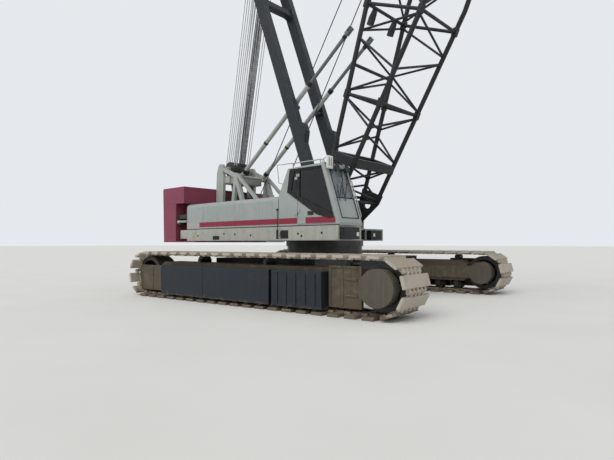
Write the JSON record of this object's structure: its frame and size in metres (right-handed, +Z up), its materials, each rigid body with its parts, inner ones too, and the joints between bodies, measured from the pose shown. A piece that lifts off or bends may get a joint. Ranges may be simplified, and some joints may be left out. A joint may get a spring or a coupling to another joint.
{
  "type": "crawler crane",
  "caption": "Tracked crane with a slewing upper, side cab, lattice boom, live mast, gantry and telescopic backstops, parked with its boom raised.",
  "frame": {"origin": "ground point under the swing axis", "axes": "+X forward along the tracks, +Y to the left, +Z up"},
  "size_m": [11.927, 6.024, 15.9912],
  "materials": {
    "track_shoe": "dry mud over cast steel",
    "frame_paint": "muddy dark paint",
    "running_gear": "oily cast steel",
    "box_paint": "dark navy paint, dusty",
    "cover_paint": "olive grey paint under mud",
    "carbody_paint": "black paint",
    "bearing_steel": "greased steel",
    "deck_paint": "beige grey paint, stained",
    "house_paint": "warm light grey paint with a crimson stripe",
    "engine_paint": "dark grey paint",
    "weight_paint": "maroon paint",
    "gantry_paint": "light grey paint",
    "sheave_steel": "black greased sheaves",
    "winch_steel": "greased steel",
    "winch_paint": "maroon paint",
    "pin_steel": "machined steel",
    "window_glass": "tinted safety glass",
    "seat_vinyl": "black vinyl",
    "console_plastic": "moulded plastic",
    "mirror_plastic": "white moulded plastic",
    "step_paint": "black paint",
    "rail_paint": "grey paint",
    "boom_paint": "black paint",
    "pendant_steel": "greased strand",
    "mast_paint": "navy black paint",
    "stop_paint": "grey paint",
    "hook_paint": "maroon paint",
    "hook_steel": "forged steel"
  },
  "bodies": {
    "lower": {"track_right": "track_shoe", "track_left": "track_shoe", "frame_right": "frame_paint", "frame_left": "frame_paint", "drive_wheels": "running_gear", "idler_wheels": "running_gear", "track_rollers": "running_gear", "side_boxes": "box_paint", "drive_covers": "cover_paint", "carbody": "carbody_paint", "swing_ring": "bearing_steel"},
    "upper": {"turntable": "bearing_steel", "deck": "deck_paint", "house_right": "house_paint", "house_left": "house_paint", "engine": "engine_paint", "counterweight": "weight_paint", "gantry": "gantry_paint", "gantry_sheaves": "sheave_steel", "winch_drums": "winch_steel", "winch_frames": "winch_paint", "foot_pins": "pin_steel", "cab_shell": "house_paint", "cab_glass": "window_glass", "seat": "seat_vinyl", "console": "console_plastic", "cab_mirror": "mirror_plastic", "step_boxes": "step_paint", "roof_rail": "rail_paint"},
    "door": {"cab_door": "house_paint", "door_glass": "window_glass"},
    "boom": {"boom_butt": "boom_paint", "boom_insert": "boom_paint", "boom_tip": "boom_paint", "boom_sheaves": "sheave_steel", "pendants": "pendant_steel"},
    "mast": {"mast": "mast_paint", "mast_sheaves": "sheave_steel"},
    "stop_tube_pair": {"stop_tubes": "stop_paint"},
    "stop_rod_pair": {"stop_rods": "stop_paint"},
    "block": {"hook_block": "hook_paint"},
    "hook_body": {"hook": "hook_steel"}
  },
  "joints": [
    {"name": "swing", "type": "hinge", "parent": "lower", "child": "upper", "pos_m": [0, 0, 1.15], "axis": [0, 0, 1], "continuous": true},
    {"name": "door_hinge", "type": "hinge", "parent": "upper", "child": "door", "pos_m": [0.44436, -1.64516, 2.2], "axis": [0, 0, -1], "range_deg": [0, 100]},
    {"name": "boom_luff", "type": "hinge", "parent": "upper", "child": "boom", "pos_m": [0.44793, -0.04313, 1.75], "axis": [-0.0958, -0.9954, 0], "range_deg": [-67, 15]},
    {"name": "mast_luff", "type": "hinge", "parent": "upper", "child": "mast", "pos_m": [0.44793, -0.04313, 1.75], "axis": [-0.0958, -0.9954, 0], "range_deg": [-67, 15]},
    {"name": "stop_lift", "type": "hinge", "parent": "upper", "child": "stop_tube_pair", "pos_m": [-2.67762, 0.25783, 3.047], "axis": [-0.0958, -0.9954, 0], "range_deg": [-24.6, 5.9]},
    {"name": "stop_slide", "type": "slide", "parent": "stop_tube_pair", "child": "stop_rod_pair", "axis": [0.7844, -0.0755, 0.6157], "range_m": [-0.5246, 2.3397]},
    {"name": "block_level", "type": "hinge", "parent": "boom", "child": "block", "pos_m": [6.65014, -0.64033, 15.66127], "axis": [-0.0958, -0.9954, 0], "range_deg": [-15.5, 67.5]},
    {"name": "hook_swivel", "type": "hinge", "parent": "block", "child": "hook_body", "pos_m": [6.99186, -0.67324, 14.48128], "axis": [0, 0, 1], "continuous": true}
  ],
  "couplings": [
    {"joint": "mast_luff", "follows": "boom_luff", "ratio": 1},
    {"joint": "stop_lift", "follows": "boom_luff", "ratio": 0.36},
    {"joint": "stop_slide", "follows": "boom_luff", "m_per_rad": -2},
    {"joint": "block_level", "follows": "boom_luff", "ratio": -1}
  ]
}
